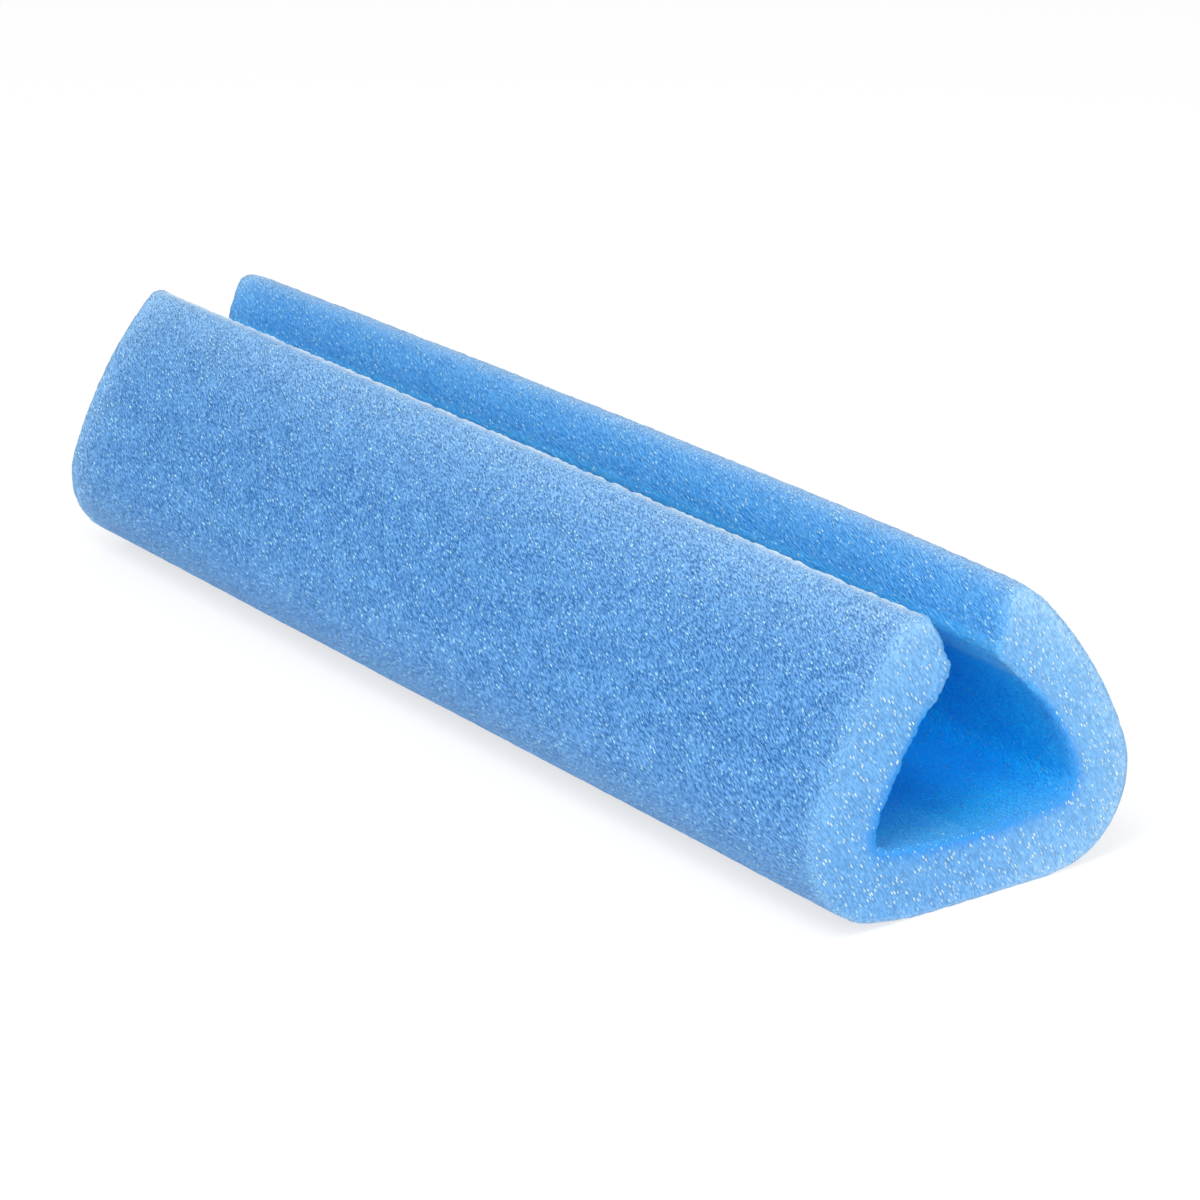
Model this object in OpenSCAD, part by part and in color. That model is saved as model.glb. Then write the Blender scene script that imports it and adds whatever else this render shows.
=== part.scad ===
/* [Strip] */
// Length of the strip between its two square-cut ends
strip_length = 190; // [60:5:1000]
// Overall width of the profile, across its two corners
profile_w = 50; // [46:0.5:58]
// Thickness of the foam wall, the same in the web, the corners and the arms
wall_t = 9.4; // [7:0.1:11]

/* [Web and corners] */
// Angle that the bowed web turns through from its middle to each corner
web_bow = 9.3; // [6:0.1:14]
// Radius of the two lower corners of the cavity
cavity_r = 2.2; // [1:0.1:4]
// Depth of the resting flat that is taken off the web's bow
rest_flat = 0.5; // [0.2:0.1:0.8]

/* [Arms] */
// Lean of each arm towards the mouth where it leaves its corner
arm_lean = 20.6; // [14:0.1:26]
// Height of the middle of the lips above the resting flat
lip_up = 31.8; // [28:0.1:36]
// Width of the mouth between the two lips
mouth_w = 7.8; // [4:0.1:14]
// Radius of the lip that grips the panel
lip_r = 2; // [1:0.1:3]
// Slope of the lead-in that runs from the lip up to the tip, from upright
lead_in = 22.5; // [12:0.5:35]
// Radius of the outer edge of each tip
tip_r = 2.2; // [1.5:0.1:3.5]

/* [Hidden] */
$fn = 240;
foam_blue = [0.42, 0.68, 0.93];
// How far a round stands proud of the faces beside it, so that they meet at a clean edge
seam = 0.02;

// The profile is a band of one thickness whose arcs run on smoothly into each other.
// It is worked out for the rear half, as [across, up] from the middle of the resting flat.
function heading(angle) = [cos(angle), sin(angle)];
function angle_of(v) = atan2(v.y, v.x);

corner_r = wall_t + cavity_r;
corner_across = profile_w / 2 - corner_r;
web_r = corner_r + corner_across / sin(web_bow);
web_centre = [0, web_r - rest_flat];
web_edge = web_bow - 90;
corner_centre = web_centre + (web_r - corner_r) * heading(web_edge);

// The arm's curve runs on from its corner and passes the lip's round at the depth of the wall.
lip_centre = [mouth_w / 2 + lip_r, lip_up];
lip_depth = wall_t - lip_r + seam;
lip_from_corner = lip_centre - corner_centre;
lip_outward = lip_from_corner * heading(arm_lean);
lip_sag = lip_depth ^ 2 - corner_r ^ 2 + 2 * corner_r * lip_outward - lip_from_corner * lip_from_corner;
arm_curve_r = lip_sag / (2 * (lip_outward - corner_r + lip_depth));
arm_centre = corner_centre - (arm_curve_r - corner_r) * heading(arm_lean);
lip_angle = angle_of(lip_centre - arm_centre);

// The lead-in is a flat face from the lip's round up to the tip's, which runs into the outer curve.
lead_angle = 180 - lead_in;
lead_facing = heading(lead_angle);
lead_along = heading(lead_angle - 90);
lead_foot = lip_centre + (lip_r - tip_r) * lead_facing;
foot_along = (lead_foot - arm_centre) * lead_along;
foot_out = (lead_foot - arm_centre) * lead_facing;
tip_reach = arm_curve_r - tip_r + seam;
tip_centre = lead_foot + (sqrt(tip_reach ^ 2 - foot_out ^ 2) - foot_along) * lead_along;
tip_angle = angle_of(tip_centre - arm_centre);
lead_point = tip_centre + (tip_r - seam) * lead_facing;

// The bend line of a corner is the centroid of its middle line, where an evenly bent arc turns.
corner_sweep = arm_lean - web_edge;
corner_middle_r = corner_r - wall_t / 2;
bend_reach = corner_middle_r * sin(corner_sweep / 2) / (corner_sweep / 2 * PI / 180);
bend_line = corner_centre + bend_reach * heading((web_edge + arm_lean) / 2);

echo(bend_line = bend_line, profile_h = tip_centre.y + tip_r, floor_up = wall_t - rest_flat);

// Slice of the plane between two directions, out to a reach
module wedge(from, to, reach) {
    far = 2 * reach;
    polygon([[0, 0], far * heading(from), far * heading((from + to) / 2), far * heading(to)]);
}

// Part of the band that bends about one centre
module band(centre, outer_r, from, to) {
    translate(centre)
        intersection() {
            difference() {
                circle(outer_r);
                circle(outer_r - wall_t);
            }
            wedge(from, to, outer_r);
        }
}

// Arm with a square end, less the lead-in and the corners that the rounds take the place of
module square_arm() {
    difference() {
        band(arm_centre, arm_curve_r, arm_lean, lead_angle - 90);
        translate(lead_point)
            rotate(lead_angle)
                translate([0, -arm_curve_r])
                    square([arm_curve_r, 2 * arm_curve_r]);
        translate(tip_centre)
            wedge(tip_angle, lead_angle, wall_t);
        translate(lip_centre)
            wedge(lead_angle, lip_angle + 180, wall_t);
    }
}

// A shape of the profile, carried along the strip
module along_strip() {
    rotate([90, 0, 90])
        linear_extrude(height = strip_length, center = true)
            children();
}

module corner() {
    along_strip()
        band(corner_centre, corner_r, web_edge, arm_lean);
}

module arm() {
    along_strip()
        union() {
            square_arm();
            translate(tip_centre)
                circle(tip_r);
            translate(lip_centre)
                circle(lip_r);
        }
}

module base_web() {
    color(foam_blue)
        along_strip()
            difference() {
                band(web_centre, web_r, web_edge, -180 - web_edge);
                translate([-profile_w / 2, -corner_r])
                    square([profile_w, corner_r]);
            }
}

module rear_corner() {
    color(foam_blue)
        corner();
}

module rear_arm() {
    color(foam_blue)
        arm();
}

module front_corner() {
    color(foam_blue)
        mirror([0, 1, 0])
            corner();
}

module front_arm() {
    color(foam_blue)
        mirror([0, 1, 0])
            arm();
}

base_web();
front_corner();
rear_corner();
front_arm();
rear_arm();
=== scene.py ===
import math
from types import SimpleNamespace

import bpy
import numpy as np
from mathutils import Matrix, Vector


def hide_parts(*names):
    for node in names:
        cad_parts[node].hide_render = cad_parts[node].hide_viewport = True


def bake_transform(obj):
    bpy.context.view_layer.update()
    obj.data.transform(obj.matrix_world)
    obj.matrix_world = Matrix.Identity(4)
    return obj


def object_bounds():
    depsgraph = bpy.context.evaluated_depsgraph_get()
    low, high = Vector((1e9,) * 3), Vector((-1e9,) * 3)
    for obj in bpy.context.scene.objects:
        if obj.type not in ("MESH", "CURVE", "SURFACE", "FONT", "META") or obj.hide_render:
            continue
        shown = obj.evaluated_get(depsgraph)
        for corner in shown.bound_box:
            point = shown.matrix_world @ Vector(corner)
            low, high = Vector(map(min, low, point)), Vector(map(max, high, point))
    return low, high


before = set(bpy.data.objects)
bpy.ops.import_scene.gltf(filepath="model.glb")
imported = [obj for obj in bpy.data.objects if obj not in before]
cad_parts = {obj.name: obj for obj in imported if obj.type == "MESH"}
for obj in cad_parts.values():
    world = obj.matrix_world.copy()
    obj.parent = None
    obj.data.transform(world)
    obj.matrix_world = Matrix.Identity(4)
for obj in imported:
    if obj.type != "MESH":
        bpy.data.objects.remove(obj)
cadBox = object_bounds()
millimetre = 0.001
stripLength = (cadBox[1].x - cadBox[0].x) / millimetre
stripWidth = (cadBox[1].y - cadBox[0].y) / millimetre
print(f"frame loaded: strip {stripLength:.1f} mm long and {stripWidth:.1f} mm wide")


# Section of the strip, in millimetres and degrees, worked out for the rear half as [across, up]
profile = {
    "wall": 9.4,
    "webBow": 9.3,  # turn of the bowed web from its middle to a corner
    "restFlat": 0.5,  # depth of the flat that the strip rests on
    "cavityRound": 2.2,
    "armLean": 20.6,  # where the arm leaves its corner
    "lipUp": 31.8,
    "lipRound": 2.0,
    "mouth": 7.8,
    "leadIn": 22.5,  # slope of the lead-in, from upright
    "tipRound": 2.2,
}


def heading(degrees):  # unit vectors at these angles
    angle = np.radians(degrees)
    return np.stack([np.cos(angle), np.sin(angle)], -1)


def angleOf(vector):
    return math.degrees(math.atan2(vector[1], vector[0]))


def sectionArcs(p):
    # Tangent arcs: the web's arc runs into the corner's, and that into the arm's. The arm's radius is the
    # one whose inner wall also touches the lip's round. The tip's round touches the lead-in and the
    # outer arc.
    cornerR = p["wall"] + p["cavityRound"]
    webR = cornerR + (stripWidth / 2 - cornerR) / math.sin(math.radians(p["webBow"]))
    web = np.array([0, webR - p["restFlat"]])
    webEdge = p["webBow"] - 90
    corner = web + (webR - cornerR) * heading(webEdge)
    lean = p["armLean"]
    lip = np.array([p["mouth"] / 2 + p["lipRound"], p["lipUp"]])
    lipDepth = p["wall"] - p["lipRound"]
    away = lip - corner
    outward = away @ heading(lean)
    sag = lipDepth**2 - cornerR**2 + 2 * cornerR * outward - away @ away
    armR = sag / (2 * (outward - cornerR + lipDepth))
    arm = corner - (armR - cornerR) * heading(lean)
    lipAngle = angleOf(lip - arm)
    lead = 180 - p["leadIn"]
    foot = lip + (p["lipRound"] - p["tipRound"]) * heading(lead)
    footAlong = (foot - arm) @ heading(lead - 90)
    footOut = (foot - arm) @ heading(lead)
    tip = foot + (math.sqrt((armR - p["tipRound"]) ** 2 - footOut**2) - footAlong) * heading(lead - 90)
    tipAngle = angleOf(tip - arm)
    # Outer and inner face of each stretch: centre, radius, from, to, and 1 where it bulges outwards
    pairs = [
        ((web, webR, -90, webEdge, 1), (web, webR - p["wall"], -90, webEdge, -1)),
        ((corner, cornerR, webEdge, lean, 1), (corner, p["cavityRound"], webEdge, lean, -1)),
        ((arm, armR, lean, tipAngle, 1), (arm, armR - p["wall"], lean, lipAngle, -1)),
        ((tip, p["tipRound"], tipAngle, lead, 1), (lip, p["lipRound"], lipAngle + 180, lead, 1)),
    ]
    bendR = cornerR - p["wall"] / 2  # the corner's middle line, over which the arm bends
    bend = (corner + bendR * heading(webEdge), corner + bendR * heading(lean))
    return {"pairs": pairs, "tip": tip, "bend": bend}


# Foam strip, in millimetres
foam = {
    "rungStep": 0.36,  # spacing of the mesh round the section
    "arcSteps": 8,  # fewest steps on an arc of it
    "wallSteps": 20,  # steps through the wall
    "lengthStep": 0.45,  # spacing along the strip
    "cutRound": 0.3,  # edge of the two cut ends
    "cutRings": 3,
    "flatGap": 3.0,  # between the shell and the ends on the unwrapped map
    "softEdge": 2.0,  # how far light that passes through the foam softens a cut edge, along the strip
    "softRim": 1.0,  # and over the cut end
    "softTurn": (35, 75),  # turn of the shading at the edge, on either side of it, in degrees
    "swellCurve": 0.7,  # below 1 the swell of the inner wall is fullest low down
    "chinUp": 29.0,  # fuller foam just below the lip
    "chinSpread": 1.6,
    "cellSize": 1.1,
    "cellHeight": 0.05,
    "lumpSize": 1.3,
    "lumpFrom": 0.01,  # share of the tip's painted pale band from which it is lumpy
    "lumpGlow": (0.75, 0.35),  # how pale that painted band is on average, and how much more on a lump
    "frayReach": 0.9,
    "frayOutside": 0.15,  # share of the fraying on the outer edges
    "pitDepth": 0.10,  # open cells of the cut ends
    "waveHeight": 0.08,  # slow waviness of an extruded face
    "waveLengths": (14, 19, 27, 38, 60),
    "waveAcross": 0.6,  # pace of the waves across the strip, against along it
    "bowCurve": (1.1, 0.55, 0.35),  # powers of the bow from either end, and its height before scaling
    "bowUp": 1.5,  # how the bow grows with height
    "seeds": {"cells": 1.0, "lumps": 2.0, "waves": 3},
    "cutFade": 1.5,  # how far the lighter colour of a cut end reaches, partly painted light
    "edgeFade": 1.2,  # how far the painted pale band round the tip reaches
    "topGlow": 0.34,  # painted light: paler foam towards the thin tips
    "topFade": 4.5,
    "topInside": 0.6,  # how much less of it there is inside
    "footGlow": 0.48,  # painted light: paler foam down by the floor, which lights it
    "footFade": 6.0,
    "farGlow": 0.32,  # painted light by the edge of the far end
    "farFade": 4.0,
    "rimGlow": 0.08,  # painted light towards the outer rim of a cut end
    "rimFade": 3.5,
    "endFade": 2.0,  # from that rim along the strip
    "armAcross": 12.0,  # distance from the middle at which a cut end has its arm's full painted light
    "wornTurn": (65, 40),  # middle and spread, in degrees round the tip, of the wear at its cut corner
    "wornReach": 1.5,
    "crestEnd": 3.0,  # how far from a cut end the painted pale band round the tip has its full strength
    "onRound": 0.05,  # a point this near to the tip's round belongs to it
    "leadInside": 0.8,  # share of the cavity's painted light and shade at the top of the lead-in
    "leadCurve": 0.5,  # how it grows from there to the lip
    "leadTurn": 60,  # degrees round the tip at which it starts
    "cavityFade": 3.2,  # how far painted daylight reaches into the cavity from its ends
    "floorTop": (10.0, 13.0),  # heights between which the cavity's floor goes over into its walls
    "floorDeepShade": (7.0, 16.0),  # distances from the end between which that floor's painted shade grows deeper
    "floorFade": 5.0,  # how far its front is painted paler, as if lit through the foam
    "edgeUp": (14.0, 24.0, 30.0, 35.0),  # heights at which the next shares hold
    "edgeInside": (0.8, 0.1, 0.1, 0.8),  # share of the cavity's painted light and shade right at the cut
    "edgeShade": 0.5,  # and of its painted shade
    "rimUp": (14.0, 24.0),  # heights between which the next reach goes over
    "rimDeep": (1.3, 0.6),  # how far the painted shade of the cut's inner rim reaches over the cut end
    "rimInwards": 2.0,  # and along the cavity's wall
    "rimTop": (23.0, 29.0),  # heights between which it fades out on that wall
    "mouthLight": 28.2,  # height down to which daylight through the mouth is painted; below it, painted shade
    "mouthFade": 2.0,
    "noseTop": 1.5,  # how far above the lip's middle its painted glow ends
    "noseFade": 2.5,
}


def arcFace(face, share):  # points at these shares of an arc's turn, and their outward normals
    centre, radius, start, stop, side = face
    direction = heading(start + (stop - start) * share)
    return centre + radius * direction, side * direction


def sectionPaths(pairs, half):
    # Outer and inner paths of the half section with their outward normals, point for point across the
    # wall. The inner wall swells on a squared sine from the cavity's floor to the lip, with a bell curve
    # below the lip, and the outer face shifts on another squared sine round its corner.
    parts = []
    for index, (outside, inside) in enumerate(pairs):
        arcLength = outside[1] * math.radians(abs(outside[3] - outside[2]))
        steps = max(foam["arcSteps"], math.ceil(arcLength / foam["rungStep"]))
        share = np.linspace(0, 1, steps + 1)
        share = share if index == len(pairs) - 1 else share[:-1]
        parts.append(np.stack([*arcFace(outside, share), *arcFace(inside, share)]))
    outer, outerOut, inner, innerOut = np.concatenate(parts, axis=1)
    outer[:, 1] = np.maximum(outer[:, 1], 0)  # the resting flat
    swellTop = profile["lipUp"] + profile["lipRound"]
    rise = np.clip((inner[:, 1] - profile["wall"]) / (swellTop - profile["wall"]), 0, 1)
    swell = half["thicker"] * np.sin(np.pi * rise ** foam["swellCurve"]) ** 2
    swell += half["chin"] * np.exp(-(((inner[:, 1] - foam["chinUp"]) / foam["chinSpread"]) ** 2))
    inner = inner + swell[:, None] * innerOut
    along = np.concatenate([[0], np.hypot(*np.diff(outer, axis=0).T).cumsum()]) / half["cornerReach"]
    outer = outer + np.sin(np.pi * np.clip(along, 0, 1))[:, None] ** 2 * half["cornerShift"]
    outer[:, 1] = np.maximum(outer[:, 1], 0)
    return outer, outerOut, inner, innerOut


def sectionGrid(half, arcs):
    # Half section as a grid: straight lines from each point of the outer path to its fellow on the inner
    # one. The loop's indices go once round the grid's edge.
    outer, outerOut, inner, innerOut = sectionPaths(arcs["pairs"], half)
    rungs, across = len(outer), foam["wallSteps"] + 1
    share = np.linspace(0, 1, across)[None, :, None]
    grid = outer[:, None] + (inner - outer)[:, None] * share
    grid[-1] += half["leadBulge"] * np.sin(np.pi * share[0]) * outerOut[-1]
    drift = outerOut[:, None] + (innerOut - outerOut)[:, None] * share  # away from the section's middle
    facing = np.where(share < 1, outerOut[:, None], innerOut[:, None])
    facing[-1] = outerOut[-1]  # the lead-in
    facing[0, 1:-1] = 0  # the hidden face between the halves
    rimAway = np.broadcast_to(np.minimum(share, 1 - share)[..., 0] * profile["wall"], (rungs, across))
    leadAway = ((outer[-1] - grid) * outerOut[-1]).sum(-1)
    rimAway = np.minimum(rimAway, np.maximum(leadAway, 0))
    k, j = np.arange(rungs), np.arange(across)
    return SimpleNamespace(
        outer=outer,
        rungs=rungs,
        across=across,
        grid=grid,
        drift=drift,
        facing=facing,
        rimAway=rimAway,
        wallShare=np.broadcast_to(share[..., 0], (rungs, across)),
        loopK=np.concatenate([k, np.full(across - 1, rungs - 1), k[-2::-1], np.zeros(across - 2, int)]),
        loopJ=np.concatenate([np.zeros(rungs, int), j[1:], np.full(rungs - 1, across - 1), j[-2:0:-1]]),
    )


def cavityShare(g, tip):
    # How far each point of the section's loop belongs to the cavity: all of the inner wall, most of the
    # lead-in, and the tip's round from its own start upwards
    roundAcross, roundUp = (g.outer - tip).T
    onRound = np.abs(np.hypot(roundAcross, roundUp) - profile["tipRound"]) < foam["onRound"]
    roundTurn = np.degrees(np.arctan2(roundUp, roundAcross)) - foam["leadTurn"]
    roundTurn = np.clip(roundTurn / (180 - profile["leadIn"] - foam["leadTurn"]), 0, 1)
    onTip = np.where(g.loopJ == 0, (foam["leadInside"] * onRound * roundTurn)[g.loopK], 0)
    lowered = g.wallShare[g.loopK, g.loopJ] ** foam["leadCurve"]
    onLead = foam["leadInside"] + (1 - foam["leadInside"]) * lowered
    return np.where(g.loopJ == g.across - 1, 1.0, np.where(g.loopK == g.rungs - 1, onLead, onTip))


def skinFaces(g, ringX):
    # Quads of the shell and of the two ends, and the place of each on the unwrapped map: the shell as girth
    # by length, and each end as a strip beside it
    loop, rings = len(g.loopK), len(ringX)
    ringIds = np.arange(rings * loop).reshape(rings, loop)
    nextIds = np.roll(ringIds, -1, axis=1)
    faces = [np.stack([ringIds[:-1], nextIds[:-1], nextIds[1:], ringIds[1:]], -1).reshape(-1, 4)]
    contour = g.grid[g.loopK, g.loopJ]
    girth = np.concatenate([[0], np.hypot(*(np.roll(contour, -1, axis=0) - contour).T).cumsum()])
    flat = np.stack(np.meshgrid(girth, ringX + stripLength / 2), -1)
    flats = [np.stack([flat[:-1, :-1], flat[:-1, 1:], flat[1:, 1:], flat[1:, :-1]], 2).reshape(-1, 4, 2)]
    middleLine = g.grid[:, g.across // 2]
    endRise = np.concatenate([[0], np.hypot(*np.diff(middleLine, axis=0).T).cumsum()])
    wall, gap = profile["wall"], foam["flatGap"]
    ends = (g.rungs - 2) * (g.across - 2)
    for end, ring in enumerate((0, rings - 1)):
        ids = np.zeros((g.rungs, g.across), int)
        ids[g.loopK, g.loopJ] = ringIds[ring]
        ids[1:-1, 1:-1] = rings * loop + end * ends + np.arange(ends).reshape(g.rungs - 2, g.across - 2)
        quads = np.stack([ids[:-1, :-1], ids[1:, :-1], ids[1:, 1:], ids[:-1, 1:]], -1).reshape(-1, 4)
        faces.append(quads if end else quads[:, ::-1])
        over = np.arange(g.across) / (g.across - 1) * wall
        over = girth[-1] + gap + (2 * wall + gap - over if end else over)
        flat = np.stack(np.meshgrid(over, endRise), -1)
        flat = np.stack([flat[:-1, :-1], flat[1:, :-1], flat[1:, 1:], flat[:-1, 1:]], 2).reshape(-1, 4, 2)
        flats.append(flat if end else flat[:, ::-1])
    return np.concatenate(faces), np.concatenate(flats) / [girth[-1] + 2 * (gap + wall), stripLength]


def sweptHalf(half, arcs):
    # One half of the strip: the half section carried along X and drawn in round its cut edges, with a grid
    # over each end
    g = sectionGrid(half, arcs)
    loop = len(g.loopK)
    turn = np.radians(np.linspace(0, 90, foam["cutRings"] + 1))
    radius, reach = foam["cutRound"], stripLength / 2
    steps = round((stripLength - 2 * radius) / foam["lengthStep"])
    middle = np.linspace(radius - reach, reach - radius, steps + 1)[1:-1]
    edgeX = reach - radius * (1 - np.cos(turn))
    ringX = np.concatenate([-edgeX, middle, edgeX[::-1]])
    still = np.zeros(len(middle))
    edgeInset = radius * (1 - np.sin(turn))
    ringInset = np.concatenate([edgeInset, still, edgeInset[::-1]])
    ringLean = np.concatenate([-np.cos(turn), still, np.cos(turn)[::-1]])

    def whole(shellPart, endPart):  # values of the shell's rings, then of the grids over the two ends
        shellPart = np.broadcast_to(shellPart, (len(ringX), loop) + shellPart.shape[2:])
        endPart = endPart[1:-1, 1:-1].reshape((-1,) + endPart.shape[2:])
        return np.concatenate([shellPart.reshape((-1,) + shellPart.shape[2:]), endPart, endPart])

    shell = g.grid[g.loopK, g.loopJ][None] - ringInset[:, None, None] * g.drift[g.loopK, g.loopJ][None]
    section = whole(shell, g.grid - radius * g.drift)
    sideways = whole(g.facing[g.loopK, g.loopJ][None], g.drift)
    ends = (g.rungs - 2) * (g.across - 2)
    alongX = np.concatenate([np.repeat(ringX, loop), np.full(ends, -reach), np.full(ends, reach)])
    lean = np.concatenate([np.repeat(ringLean, loop), np.full(ends, -1.0), np.full(ends, 1.0)])
    at = np.column_stack([alongX, section])
    out = np.column_stack([lean, sideways * np.sqrt(1 - lean**2)[:, None]])
    fromEnd = reach - np.abs(alongX)
    fromRim = whole(np.where(g.loopK == 0, g.rimAway[g.loopK, g.loopJ], 0)[None], g.rimAway)
    onCut = (g.loopK == 0) & (g.loopJ > 0) & (g.loopJ < g.across - 1)
    onCap = whole(onCut[None], np.ones((g.rungs, g.across), bool))
    onEnd = onCap & (fromEnd == 0)
    innerHalf = (g.wallShare > 0.5) * 1.0
    faces, flats = skinFaces(g, ringX)

    # A cut edge is shaded as if it were round: its normals turn towards the end over the soft reach
    fromEdge = np.where(onEnd, fromRim, fromEnd + fromRim)
    soft = np.where(onEnd, foam["softRim"], foam["softEdge"])
    bend = np.clip(1 - fromEdge / soft, 0, 1) ** 2
    endwards = np.column_stack([np.sign(alongX), 0 * alongX, 0 * alongX])
    outwards = np.column_stack([0 * alongX, sideways])
    flankTurn, endTurn = np.radians(foam["softTurn"])
    flankTilt = flankTurn * bend
    flankTilt += (endTurn - flankTilt) * np.arcsin(np.abs(lean)) / (np.pi / 2)
    tilt = np.where(onEnd, np.pi / 2 - (np.pi / 2 - endTurn) * bend, flankTilt)[:, None]
    rounded = np.cos(tilt) * outwards + np.sin(tilt) * endwards - out
    rounded = np.where((fromEdge < soft)[:, None], rounded, 0)

    for vectors in (at, out, outwards, rounded):
        vectors[:, 1] *= half["side"]
    if half["side"] < 0:
        faces = faces[:, ::-1]
        flats = flats[:, ::-1] * [-1, 1] + [1, 0]
    return SimpleNamespace(
        at=at,
        out=out,
        outwards=outwards,
        rounded=rounded,
        faces=faces,
        flats=flats,
        lean=lean,
        fromEnd=fromEnd,
        fromEdge=fromEdge,
        fromOuter=profile["wall"] * whole(g.wallShare[g.loopK, g.loopJ][None], g.wallShare),
        onCap=onCap,
        onEnd=onEnd,
        inside=whole(cavityShare(g, arcs["tip"])[None], innerHalf),
        seam=whole((g.loopK == 0)[None], np.zeros((g.rungs, g.across), bool)),
    )


def scatter(cells, seed):  # three repeatable numbers from 0 to 1 for each whole-number cell
    mixer = np.array([[127.1, 269.5, 113.5], [311.7, 183.3, 271.9], [74.7, 246.1, 124.6]])
    spread = 43758.5453
    return np.sin(cells @ mixer + seed) * spread % 1.0


def bubbles(points, size, seed):
    # Packed bubbles: a point's height falls with the square of its distance to the nearest scattered
    # seed, from 1 at the seed down to -1
    slope, reach = 2.5, 0.8
    grid = points / size
    home = np.floor(grid)
    nearest = np.full(len(points), np.inf)
    for shift in np.ndindex(3, 3, 3):
        cell = home + np.array(shift) - 1
        nearest = np.minimum(nearest, ((grid - cell - scatter(cell, seed)) ** 2).sum(1))
    return 1 - slope * np.minimum(nearest, reach)


def slowWaves(points, seed):
    # Waviness: the mean of a few long sine waves in set directions
    draw = np.random.default_rng(seed)
    total = np.zeros(len(points))
    for length in foam["waveLengths"]:
        direction = draw.normal(size=3) * [1, foam["waveAcross"], foam["waveAcross"]]
        total += np.sin(points @ (direction * 2 * np.pi / length) + draw.uniform(0, 2 * np.pi))
    return total / len(foam["waveLengths"])


def relief(s, half, arcs):
    # Each point moves along its normal by the bubbles and waves, with lumps in the band round the tip, and
    # by the pits on a cut end. Cut edges are frayed sideways, and the arm is bowed up along its length by
    # a power of the share from one end times a power of the share from the other.
    tipAcross, tipUp = (s.at[:, 1:] * [half["side"], 1] - arcs["tip"]).T
    tipAway = np.abs(np.hypot(tipAcross, tipUp) - profile["tipRound"])
    tipTurn = np.degrees(np.arctan2(tipUp, tipAcross))
    # tipGlow is painted light: a pale band round the tip, for light through its thin foam and on its rim
    crest = (tipTurn - half["crestAngle"]) / half["crestSpread"]
    tipGlow = np.exp(-(crest**2) - (tipAway / foam["edgeFade"]) ** 2)
    wornTurn, wornSpread = foam["wornTurn"]
    worn = ((tipTurn - wornTurn) / wornSpread) ** 2 + (tipAway / foam["wornReach"]) ** 2
    worn = np.exp(-worn - s.fromEnd / foam["wornReach"])

    seeds = foam["seeds"]
    cellRelief = bubbles(s.at, foam["cellSize"], seeds["cells"])
    skin = foam["cellHeight"] * cellRelief + foam["waveHeight"] * slowWaves(s.at, seeds["waves"])
    lumpy = tipGlow > foam["lumpFrom"]
    lumps = bubbles(s.at[lumpy], foam["lumpSize"], seeds["lumps"])
    skin[lumpy] += half["lumpHeight"] * tipGlow[lumpy] * lumps
    glow, lumpGlow = foam["lumpGlow"]
    tipGlow[lumpy] *= half["crestGlow"] * np.clip(glow + lumpGlow * lumps, 0, 1)
    tipGlow *= np.clip(s.fromEnd / foam["crestEnd"], 0, 1)

    pits = -foam["pitDepth"] * np.maximum(cellRelief, 0)
    frayed = foam["frayOutside"] + (1 - foam["frayOutside"]) * s.inside
    fray = half["frayDepth"] * frayed * cellRelief
    fray *= np.exp(-((s.fromEdge / foam["frayReach"]) ** 2))
    moved = s.at + s.out * (skin + (pits - skin) * s.lean**2)[:, None]
    moved += s.outwards * (fray - half["tipWear"] * worn)[:, None]
    u = s.at[:, 0] / stripLength + 0.5
    rise, fall, highest = foam["bowCurve"]
    bow = half["bow"] * u**rise * (1 - u) ** fall / highest
    armFoot = profile["wall"] + profile["cavityRound"]
    armShare = np.clip((s.at[:, 2] - armFoot) / (profile["lipUp"] - armFoot), 0, 1)
    moved[:, 2] += bow * armShare ** foam["bowUp"]
    moved[:, 2] = np.maximum(moved[:, 2], 0)
    return moved, tipGlow


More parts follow.
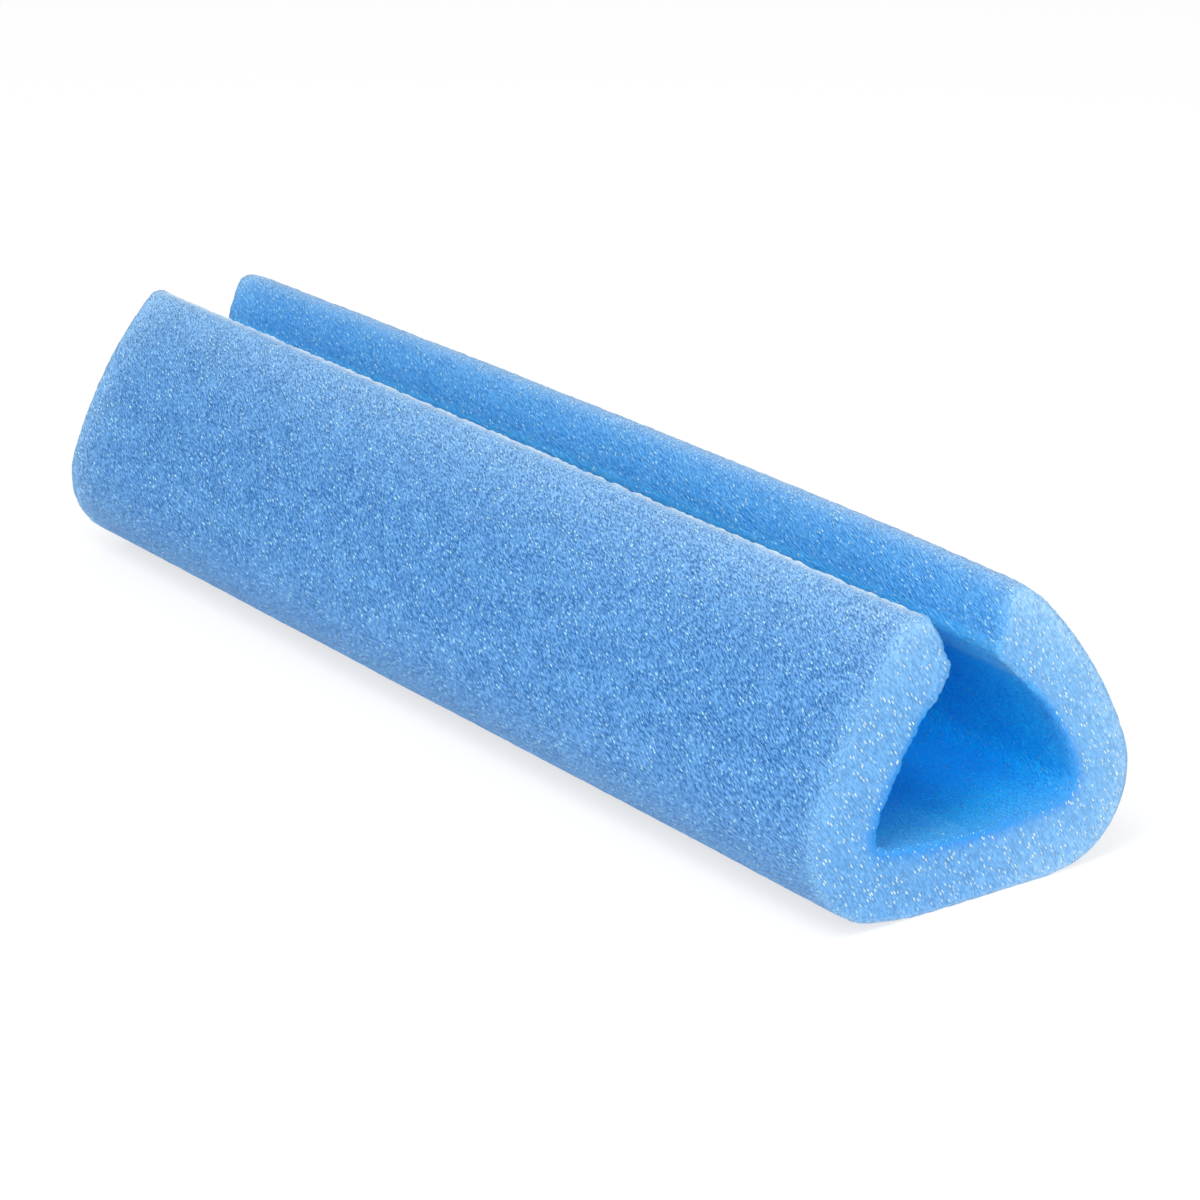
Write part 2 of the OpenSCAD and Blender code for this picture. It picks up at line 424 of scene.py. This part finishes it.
def shades(s, half, arcs, tipGlow):
    # Painted light and shade: where the foam is painted paler, as if daylight passed through it, or deeper,
    # as if in shade; each share fades out from its edge, its rim or its height
    up, fromEnd = s.at[:, 2], s.fromEnd
    deep = np.clip((foam["mouthLight"] - up) / foam["mouthFade"], 0, 1)
    skinOnly = np.where(s.onEnd, 0, np.where(s.onCap, 1, 1 - s.inside))
    inwards = np.exp(-fromEnd / foam["cavityFade"])
    rimDeep = np.interp(up, foam["rimUp"], foam["rimDeep"])
    capRim = np.exp(-(((profile["wall"] - s.fromOuter) / rimDeep) ** 2))
    wallRim = s.inside * np.exp(-fromEnd / foam["rimInwards"]) * np.interp(up, foam["rimTop"], (1, 0))
    inside = np.where(s.onCap, 0, s.inside)
    shade = inside * (1 - (1 - foam["edgeShade"]) * inwards) * deep**2 * (3 - 2 * deep)
    inside = inside * (1 - (1 - np.interp(up, foam["edgeUp"], foam["edgeInside"])) * inwards)
    floorward = inside * np.interp(up, foam["floorTop"], (1, 0))
    nose = np.clip((up - foam["mouthLight"] + foam["mouthFade"]) / foam["mouthFade"], 0, 1)
    nose *= inside * np.clip((profile["lipUp"] + foam["noseTop"] - up) / foam["noseFade"], 0, 1)
    # painted light: paler towards the thin tips, down by the floor and by the far end
    topUp = arcs["tip"][1] + profile["tipRound"]
    top = foam["topGlow"] * np.exp(np.minimum(up - topUp, 0) / foam["topFade"])
    unlitShare = 1 - top * (1 - foam["topInside"] * inside)
    unlitShare *= 1 - foam["footGlow"] * np.exp(-up / foam["footFade"]) * skinOnly
    fromFar = s.at[:, 0] + stripLength / 2
    unlitShare *= 1 - foam["farGlow"] * np.exp(-fromFar / foam["farFade"]) * skinOnly
    armward = np.clip(np.abs(s.at[:, 1]) / foam["armAcross"], 0, 1)
    rimGlow = foam["rimGlow"] + (half["rimGlow"] - foam["rimGlow"]) * armward
    cut = np.where(s.onEnd, 1, np.exp(-s.fromEdge / foam["cutFade"]))
    return {
        "crestGlow": tipGlow,
        "edgeGlow": rimGlow * np.exp(-s.fromOuter / foam["rimFade"] - fromEnd / foam["endFade"]),
        "softGlow": 1 - unlitShare,
        "insideFace": inside,
        "noseGlow": nose,
        "cavityShade": shade,
        "floorDeepShade": floorward * np.interp(fromEnd, foam["floorDeepShade"], (0, 1)),
        "floorLitPale": floorward * half["floorLitPale"] * np.exp(-fromEnd / foam["floorFade"]),
        "cutToneAndLight": cut * (1 + half["cutPaintedLight"] * armward),
        "endFace": s.onEnd * 1.0,
        "rimShade": np.where(s.onCap, capRim, wallRim),
    }


def foamHalf(name, half, arcs):  # mesh with its painted light and shade, its unwrapped map and its softened normals
    s = sweptHalf(half, arcs)
    moved, tipGlow = relief(s, half, arcs)
    mesh = bpy.data.meshes.new(name)
    mesh.from_pydata((moved * millimetre).tolist(), [], s.faces.tolist())
    for label, values in shades(s, half, arcs, tipGlow).items():
        mesh.attributes.new(label, "FLOAT", "POINT").data.foreach_set("value", values.astype(np.float32))
    mesh.polygons.foreach_set("use_smooth", np.ones(len(s.faces), bool))
    mesh.uv_layers.new(name="OFBake").uv.foreach_set("vector", s.flats.astype(np.float32).ravel())
    edges = np.zeros(len(mesh.edges) * 2, np.int32)
    mesh.edges.foreach_get("vertices", edges)
    onSeam = s.seam[edges].reshape(-1, 2).all(1)
    mesh.attributes.new("sharp_edge", "BOOLEAN", "EDGE").data.foreach_set("value", onSeam)
    mesh.update()
    normals = np.zeros(len(mesh.loops) * 3, np.float32)
    mesh.corner_normals.foreach_get("vector", normals)
    corners = np.zeros(len(mesh.loops), np.int32)
    mesh.loops.foreach_get("vertex_index", corners)
    normals = normals.reshape(-1, 3) + s.rounded[corners]
    mesh.normals_split_custom_set((normals / np.linalg.norm(normals, axis=1, keepdims=True)).tolist())
    piece = bpy.data.objects.new(name, mesh)
    bpy.context.scene.collection.objects.link(piece)
    print(f"{name}: {len(moved)} points, {2 * len(s.faces)} triangles")
    return piece


def nodeIn(tree, kind, values=None, **settings):
    made = tree.nodes.new(kind)
    for key, value in settings.items():
        setattr(made, key, value)
    for key, value in (values or {}).items():
        if isinstance(value, bpy.types.NodeSocket):
            tree.links.new(value, made.inputs[key])
        else:
            made.inputs[key].default_value = value
    return made


def mathsIn(tree, kind, a, b):
    return nodeIn(tree, "ShaderNodeMath", {0: a, 1: b}, operation=kind).outputs[0]


# Pale blue closed-cell foam: colours are linear and sizes in millimetres. Between the two ends of a span,
# the look goes over from the first to the second of the tones, flecks or shares that follow it.
foamFinish = {
    "cellBlue": (0.004, 0.092, 0.325, 1),
    "paleBlue": (0.157, 0.415, 0.800, 1),
    # painted light: the next three colours pale the tips, feet, cut rims and crests
    "softPale": (0.390, 0.655, 0.940, 1),
    "edgePale": (0.680, 0.880, 0.960, 1),
    "crestPale": (0.850, 0.960, 1.000, 1),
    # the cut ends' own paler colour, which near their edges also stands for painted light
    "cutPale": (0.240, 0.550, 0.870, 1),
    # painted light and shade: the next eight colours stand for light through the walls and shade in the
    # cavity
    "insidePaintedBlue": (0.120, 0.480, 0.930, 1),
    "insidePaintedDeep": (0.010, 0.270, 0.740, 1),
    "nosePale": (0.075, 0.560, 1.000, 1),
    "cavityShadeBlue": (0.006, 0.600, 1.000, 1),
    "cavityShadeDeep": (0.0001, 0.280, 0.920, 1),
    "floorShadeBlue": (0.0001, 0.335, 0.930, 1),
    "floorLitPale": (0.160, 0.640, 1.000, 1),
    "rimShadeBlue": (0.025, 0.250, 0.720, 1),
    # painted highlights: colours of the glints of cell walls
    "glint": (0.480, 0.860, 1.000, 1),
    "cutGlint": (0.720, 0.930, 1.000, 1),
    "grainAlong": (0.907, -0.143, -0.396),  # the grain and glints are drawn out this way along the strip
    "grainAcross": (0.0, 0.505, -0.863),  # and this way on the cut ends
    "grainSize": 0.18,
    "grainStretch": 4.2,
    "grainDetail": 1.0,
    "grainSpan": (0.36, 0.70),
    "grainTone": (0.0, 0.8),
    "endSmooth": 0.3,  # how much softer the grain is on the cut ends
    "endTone": 0.3,  # tone that it is softened towards
    "cellSize": 0.95,
    "cellTone": 0.06,  # how much the tone varies from cell to cell
    "cloudSize": 4.0,
    "cloudDetail": 3.0,
    "cloudSpan": (0.35, 0.65),
    "cloudTone": (0.03, 0.17),
    "cutTone": 0.16,  # how much paler the tone is on a cut end, partly painted light
    "cutShare": 0.22,  # shares of the next colours where they are strongest
    "insideShare": 0.72,
    "noseShare": 0.9,
    "rimShare": 0.8,
    "floorFlecks": (0.5, 1.5),  # over the grain's span
    "softSpan": (0.36, 0.62),
    "softFlecks": (0.5, 1.6),
    "knobSpan": (0.6, 0.25),  # distances from a cell's middle, over which the rim's painted pale knobs rise
    "knobTone": (0.25, 0.75),
    "knobGrainSpan": (0.35, 0.6),
    "knobGrain": (0.0, 0.4),
    "crestSpan": (0.30, 0.60),
    "crestFlecks": (0.75, 1.0),
    "glintSize": 0.39,  # spacing of the painted glints along the strip
    "cutGlintSize": 0.42,  # and on the cut ends
    "glintStretch": 2.8,
    "glintSpan": (0.34, 0.20),  # distances from a glint's middle, over which it shows
    "glintChance": 0.45,  # lot above which a spot has a glint
    "glintSure": 0.72,  # lot above which that is a full one
    "cutGlintSure": 0.28,  # this much more on the cut ends
    "cutGlints": 0.14,  # how many more glints there are on the cut ends
    "softGlints": 0.35,  # and where the foam is paler
    "softWhite": 2.0,  # how much whiter they are there
    "glintCloud": 2.5,  # size of the patches in which they are brighter
    "glintCloudDetail": 1.0,
    "glintCloudSpan": (0.38, 0.58),
    "glintCloudShare": (0.6, 1.0),
    "cavitySpan": (0.0, 0.5),
    "cavityGlints": (1.0, 0.2),  # share of the glints that show as the cavity grows deeper
    "floorGlints": 1.2,  # and how many more on its pale front
    "glintShare": 0.95,
    "roughness": (0.6, 0.3),  # of the foam and of a glint
    "specular": 0.04,
    "sheen": 0.02,
    "sheenRoughness": 0.5,
    "bumpDepth": 0.34,
    "evenHeight": 0.5,  # height that the bump is softened towards on the cut ends
    "cellDent": 0.3,
    "glintRise": 0.5,
}


def foamMaterial(finish):
    material = bpy.data.materials.new("paleBlueFoam")
    material.use_nodes = True
    tree = material.node_tree
    shader = tree.nodes["Principled BSDF"]
    where = nodeIn(tree, "ShaderNodeTexCoord").outputs["Object"]

    def perMetre(size):
        return 1 / (size * millimetre)

    def mix(factor, a, b, kind="Color"):
        made = nodeIn(tree, "ShaderNodeMix", data_type="RGBA" if kind == "Color" else "FLOAT")
        for socket, value in (("Factor_Float", factor), (f"A_{kind}", a), (f"B_{kind}", b)):
            target = next(s for s in made.inputs if s.identifier == socket)
            if isinstance(value, bpy.types.NodeSocket):
                tree.links.new(value, target)
            else:
                target.default_value = value
        return next(s for s in made.outputs if s.identifier == f"Result_{kind}")

    def add(a, b):
        return mathsIn(tree, "ADD", a, b)

    def times(a, b):
        return mathsIn(tree, "MULTIPLY", a, b)

    def between(value, span, results=(0.0, 1.0)):
        values = {"Value": value, "From Min": span[0], "From Max": span[1]}
        values |= {"To Min": results[0], "To Max": results[1]}
        return nodeIn(tree, "ShaderNodeMapRange", values).outputs["Result"]

    def attribute(label):
        return nodeIn(tree, "ShaderNodeAttribute", attribute_name=label).outputs["Fac"]

    def noise(at, size, detail):
        values = {"Vector": at, "Scale": perMetre(size), "Detail": detail, "Roughness": 0.5}
        return nodeIn(tree, "ShaderNodeTexNoise", values).outputs["Fac"]

    def stretched(direction, stretch):
        turned = Vector(direction).to_track_quat("X", "Z").to_euler()
        drawn = {"Vector": where, "Rotation": turned, "Scale": (stretch, 1, 1)}
        return nodeIn(tree, "ShaderNodeMapping", drawn, vector_type="TEXTURE").outputs["Vector"]

    def drawnOut(direction, size):  # grain, and the nearest glint's distance and lot, drawn out one way
        specks = {"Vector": stretched(direction, finish["glintStretch"]), "Scale": perMetre(size)}
        specks = nodeIn(tree, "ShaderNodeTexVoronoi", specks).outputs
        lot = nodeIn(tree, "ShaderNodeSeparateColor", {"Color": specks["Color"]}).outputs["Green"]
        grainAt = stretched(direction, finish["grainStretch"])
        return noise(grainAt, finish["grainSize"], finish["grainDetail"]), specks["Distance"], lot

    along = drawnOut(finish["grainAlong"], finish["glintSize"])
    across = drawnOut(finish["grainAcross"], finish["cutGlintSize"])
    grain, speckAway, chance = (mix(attribute("endFace"), a, b, "Float") for a, b in zip(along, across))
    cells = nodeIn(tree, "ShaderNodeTexVoronoi", {"Vector": where, "Scale": perMetre(finish["cellSize"])})
    cellLot = nodeIn(tree, "ShaderNodeSeparateColor", {"Color": cells.outputs["Color"]}).outputs["Red"]
    cellAway = cells.outputs["Distance"]
    cloud = noise(where, finish["cloudSize"], finish["cloudDetail"])

    # Tone from the deep to the pale blue of the foam: cells, clouds and grain
    tone = add(times(cellLot, finish["cellTone"]), between(cloud, finish["cloudSpan"], finish["cloudTone"]))
    smoother = times(attribute("endFace"), finish["endSmooth"])
    grainTone = between(grain, finish["grainSpan"], finish["grainTone"])
    tone = add(tone, mix(smoother, grainTone, finish["endTone"], "Float"))
    # the cut ends' own paler tone, partly painted light near their edges
    tone = add(tone, times(attribute("cutToneAndLight"), finish["cutTone"]))
    colour = mix(tone, finish["cellBlue"], finish["paleBlue"])
    colour = mix(times(attribute("cutToneAndLight"), finish["cutShare"]), colour, finish["cutPale"])

    # Painted light and shade of the cavity: light through its foam walls, shade in its depths and at its
    # rim
    insideTone = mix(tone, finish["insidePaintedDeep"], finish["insidePaintedBlue"])
    colour = mix(times(attribute("insideFace"), finish["insideShare"]), colour, insideTone)
    colour = mix(times(attribute("noseGlow"), finish["noseShare"]), colour, finish["nosePale"])
    cavityTone = mix(tone, finish["cavityShadeDeep"], finish["cavityShadeBlue"])
    colour = mix(attribute("cavityShade"), colour, cavityTone)
    colour = mix(attribute("floorDeepShade"), colour, finish["floorShadeBlue"])
    flecks = between(grain, finish["grainSpan"], finish["floorFlecks"])
    colour = mix(times(attribute("floorLitPale"), flecks), colour, finish["floorLitPale"])
    colour = mix(times(attribute("rimShade"), finish["rimShare"]), colour, finish["rimShadeBlue"])

    # Painted light: paler tips, feet, rims and crests, as light passes through the thin foam
    flecks = between(grain, finish["softSpan"], finish["softFlecks"])
    flecks = mix(attribute("insideFace"), flecks, 1.0, "Float")
    colour = mix(times(attribute("softGlow"), flecks), colour, finish["softPale"])
    knobs = between(cellAway, finish["knobSpan"], finish["knobTone"])
    knobs = add(knobs, between(grain, finish["knobGrainSpan"], finish["knobGrain"]))
    colour = mix(times(attribute("edgeGlow"), knobs), colour, finish["edgePale"])
    flecks = between(grain, finish["crestSpan"], finish["crestFlecks"])
    colour = mix(times(attribute("crestGlow"), flecks), colour, finish["crestPale"])

    # Painted highlights: glints of single cell walls, painted into the colour
    onCut = times(attribute("endFace"), attribute("cutToneAndLight"))
    chance = add(chance, times(onCut, finish["cutGlints"]))
    chance = add(chance, times(attribute("softGlow"), finish["softGlints"]))
    surely = add(times(attribute("endFace"), finish["cutGlintSure"]), finish["glintSure"])
    spark = times(between(speckAway, finish["glintSpan"]), between(chance, (finish["glintChance"], surely)))
    patches = noise(where, finish["glintCloud"], finish["glintCloudDetail"])
    spark = times(spark, between(patches, finish["glintCloudSpan"], finish["glintCloudShare"]))
    shown = between(attribute("cavityShade"), finish["cavitySpan"], finish["cavityGlints"])
    glint = times(spark, add(shown, times(attribute("floorLitPale"), finish["floorGlints"])))
    whiter = add(attribute("endFace"), times(attribute("softGlow"), finish["softWhite"]))
    glintColour = mix(whiter, finish["glint"], finish["cutGlint"])
    colour = mix(times(glint, finish["glintShare"]), colour, glintColour)

    tree.links.new(colour, shader.inputs["Base Color"])
    tree.links.new(between(glint, (0.0, 1.0), finish["roughness"]), shader.inputs["Roughness"])
    shader.inputs["Specular IOR Level"].default_value = finish["specular"]
    shader.inputs["Sheen Weight"].default_value = finish["sheen"]
    shader.inputs["Sheen Roughness"].default_value = finish["sheenRoughness"]
    height = mix(smoother, grain, finish["evenHeight"], "Float")
    height = mathsIn(tree, "SUBTRACT", height, times(cellAway, finish["cellDent"]))
    height = add(height, times(spark, finish["glintRise"]))
    bump = {"Height": height, "Strength": 1.0, "Distance": finish["bumpDepth"] * millimetre}
    tree.links.new(nodeIn(tree, "ShaderNodeBump", bump).outputs["Normal"], shader.inputs["Normal"])
    print(f"{material.name}: {len(tree.nodes)} nodes")
    return material


halves = {  # in millimetres: what sets the two sides of this strip apart
    "front_foam": {
        "side": -1,
        "thicker": 0.35,  # most that the arm's inner face stands inwards
        "chin": 0.5,  # and just below the lip
        "leadBulge": 0.0,  # how far the lead-in stands out in its middle
        "crestAngle": 122,  # middle of the painted pale band round the tip, a painted rim light, and its spread, in degrees
        "crestSpread": 30,
        "crestGlow": 1.0,  # how pale that painted light is
        "lumpHeight": 0.18,  # along that band
        "tipWear": 0.0,  # how far the tip's cut corner is worn down
        "frayDepth": 0.30,  # torn cells along the inner cut edges
        "floorLitPale": 0.95,  # painted light: how much paler the front of the cavity's floor is
        "cutPaintedLight": 0.0,  # painted light: how much paler the cut ends grow towards the arm
        "rimGlow": 0.06,  # and the painted light by their outer rim
        "cornerShift": np.array([0.35, 0.3]),  # most that the corner's outer face stands outwards and up
        "cornerReach": 45.0,  # over this length of the face
        "bow": 0.0,  # most that the arm stands higher along its length
        "arm": "front_arm",
        "nodes": ("base_web", "front_corner", "front_arm"),
    },
    "rear_foam": {
        "side": 1,
        "thicker": -1.1,
        "chin": 0.0,
        "leadBulge": 0.2,
        "crestAngle": 72,
        "crestSpread": 38,
        "crestGlow": 0.2,
        "lumpHeight": 0.05,
        "tipWear": 0.4,
        "frayDepth": 0.12,
        "floorLitPale": 0.45,
        "cutPaintedLight": 0.5,
        "rimGlow": 0.36,
        "cornerShift": np.array([0.0, -0.3]),
        "cornerReach": 30.0,
        "bow": 0.9,
        "arm": "rear_arm",
        "nodes": ("base_web", "rear_corner", "rear_arm"),
    },
}
foamSurface = foamMaterial(foamFinish)
stripArcs = sectionArcs(profile)
for name, half in halves.items():
    piece = foamHalf(name, half, stripArcs)
    piece.data.materials.append(foamSurface)
    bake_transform(piece)
    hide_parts(*half["nodes"])


# Studio: a pale floor that reads as white, an even sky and three soft lamps
studio = {
    "floorSize": 20.0,
    "floorColour": (0.97, 0.97, 0.97, 1),
    "floorRoughness": 0.9,
    "floorGlow": 0.7,  # share of the floor's white that the camera sees as it is
    "sky": 0.76,
    "white": (1, 1, 1, 1),
    "lamps": {  # place, width in metres and power in watts of each soft lamp
        "keyLight": ((0.30, -0.45, 0.86), 0.5, 4.85),
        "endLight": ((0.85, -0.38, 0.40), 0.6, 3.15),
        "fillLight": ((-0.50, -0.80, 0.60), 0.6, 0.35),
    },
    "lampAim": (0.0, 0.0, 0.02),
}


def seenRay(tree):  # 1 where the camera looks, straight, by a reflection or through glass
    ray = nodeIn(tree, "ShaderNodeLightPath").outputs
    seen = mathsIn(tree, "MAXIMUM", ray["Is Camera Ray"], ray["Is Glossy Ray"])
    return mathsIn(tree, "MAXIMUM", seen, ray["Is Transmission Ray"])


def studioFloor():
    half = studio["floorSize"] / 2
    corners = [(-half, -half, 0), (half, -half, 0), (half, half, 0), (-half, half, 0)]
    mesh = bpy.data.meshes.new("floor")
    mesh.from_pydata(corners, [], [(0, 1, 2, 3)])
    floor = bpy.data.objects.new("floor", mesh)
    bpy.context.scene.collection.objects.link(floor)
    material = bpy.data.materials.new("paleFloor")
    material.use_nodes = True
    tree = material.node_tree
    shader = tree.nodes["Principled BSDF"]
    shader.inputs["Base Color"].default_value = studio["floorColour"]
    shader.inputs["Roughness"].default_value = studio["floorRoughness"]
    shader.inputs["Specular IOR Level"].default_value = 0.0
    white = nodeIn(tree, "ShaderNodeEmission", {"Color": studio["white"], "Strength": 1.0}).outputs[0]
    glow = mathsIn(tree, "MULTIPLY", seenRay(tree), studio["floorGlow"])
    shown = nodeIn(tree, "ShaderNodeMixShader", {0: glow, 1: shader.outputs[0], 2: white}).outputs[0]
    tree.links.new(shown, tree.nodes["Material Output"].inputs["Surface"])
    mesh.materials.append(material)


def studioLight():
    world = bpy.data.worlds.new("studioSky")
    world.use_nodes = True
    bpy.context.scene.world = world
    tree = world.node_tree
    strength = {"Value": seenRay(tree), "To Min": studio["sky"], "To Max": 1.0}
    strength = nodeIn(tree, "ShaderNodeMapRange", strength).outputs["Result"]
    tree.nodes["Background"].inputs["Color"].default_value = studio["white"]
    tree.links.new(strength, tree.nodes["Background"].inputs["Strength"])
    for name, (place, width, power) in studio["lamps"].items():
        light = bpy.data.lights.new(name, "AREA")
        light.shape = "DISK"
        light.size = width
        light.energy = power
        lamp = bpy.data.objects.new(name, light)
        lamp.location = place
        towards = Vector(studio["lampAim"]) - lamp.location
        lamp.rotation_euler = towards.to_track_quat("-Z", "Y").to_euler()
        bpy.context.scene.collection.objects.link(lamp)


studioFloor()
studioLight()
print("studio set")


# Camera, fitted to the photograph: it stands back from a point on its axis, in metres and degrees
camera = {
    "aim": (0.00592, 0.00500, 0.01352),
    "distance": 0.60554,
    "azimuth": 56.113,
    "elevation": 19.590,
    "roll": -1.516,
    "lens": 129.73,
    "sensor": 36.0,
}


def studioCamera(c):
    azimuth, elevation, roll = (math.radians(c[x]) for x in ("azimuth", "elevation", "roll"))
    level = Vector((math.cos(azimuth), math.sin(azimuth), 0))
    outward = math.cos(elevation)
    back = Vector((math.sin(azimuth) * outward, -math.cos(azimuth) * outward, math.sin(elevation)))
    upright = back.cross(level)
    right = math.cos(roll) * level + math.sin(roll) * upright
    above = back.cross(right)
    place = Matrix((right, above, back)).transposed().to_4x4()
    place.translation = Vector(c["aim"]) + c["distance"] * back
    data = bpy.data.cameras.new("camera")
    data.lens = c["lens"]
    data.sensor_width = c["sensor"]
    made = bpy.data.objects.new("camera", data)
    made.matrix_world = place
    bpy.context.scene.collection.objects.link(made)
    bpy.context.scene.camera = made


studioCamera(camera)
bpy.context.scene.view_settings.view_transform = "Standard"
print("camera set")
